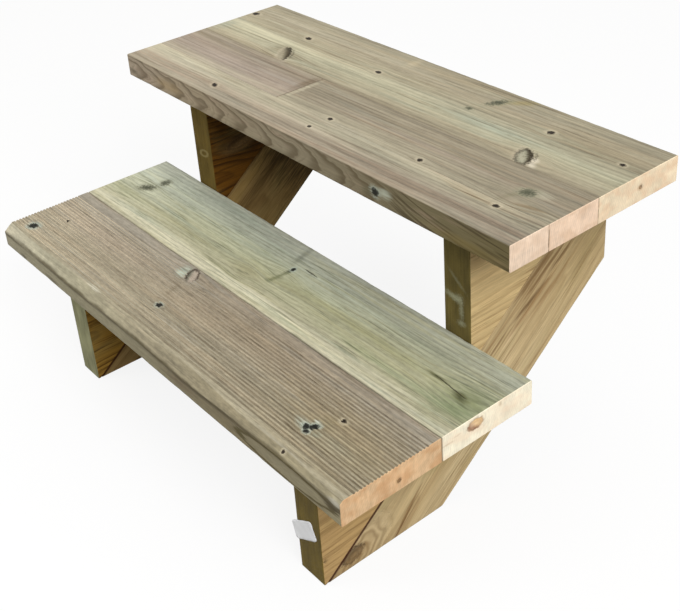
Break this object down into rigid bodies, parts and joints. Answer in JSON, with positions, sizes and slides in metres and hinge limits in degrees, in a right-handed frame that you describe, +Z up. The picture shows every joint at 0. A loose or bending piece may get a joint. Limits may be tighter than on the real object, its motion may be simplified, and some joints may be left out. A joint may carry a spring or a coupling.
{
  "type": "wooden outdoor steps",
  "caption": "Low timber steps with planed and ribbed tread boards on sloping stringers built up with triangular blocks, to be held at the back by a deck or wall.",
  "frame": {"origin": "middle of the upper tread's back edge face, on the upright plane that the back of the upper tread shares with both stringers' plumb cuts and that bears on the deck or wall", "axes": "+X along the treads, to the right of someone who faces the steps; +Y level and square to the wall, towards it; +Z up"},
  "size_m": [0.8, 0.54, 0.431],
  "materials": {
    "stringer_timber": "planed, pressure treated, bare",
    "block_timber": "planed, pressure treated, bare",
    "ribbed_board": "ribbed decking board, pressure treated, bare",
    "green_board": "planed, pressure treated with a green tint, bare",
    "planed_stave": "planed, pressure treated, slightly grey, bare",
    "planed_board": "planed, pressure treated, slightly grey, bare"
  },
  "bodies": {
    "root": {"left_stringer_board": "stringer_timber", "right_stringer_board": "stringer_timber", "lower_left_block": "block_timber", "lower_right_block": "block_timber", "upper_left_block": "block_timber", "upper_right_block": "block_timber", "lower_tread_ribbed_board": "ribbed_board", "lower_tread_back_board": "green_board", "upper_tread_front_stave": "planed_stave", "upper_tread_short_stave": "planed_stave", "upper_tread_long_stave": "planed_stave", "upper_tread_back_board": "planed_board"}
  },
  "joints": []
}
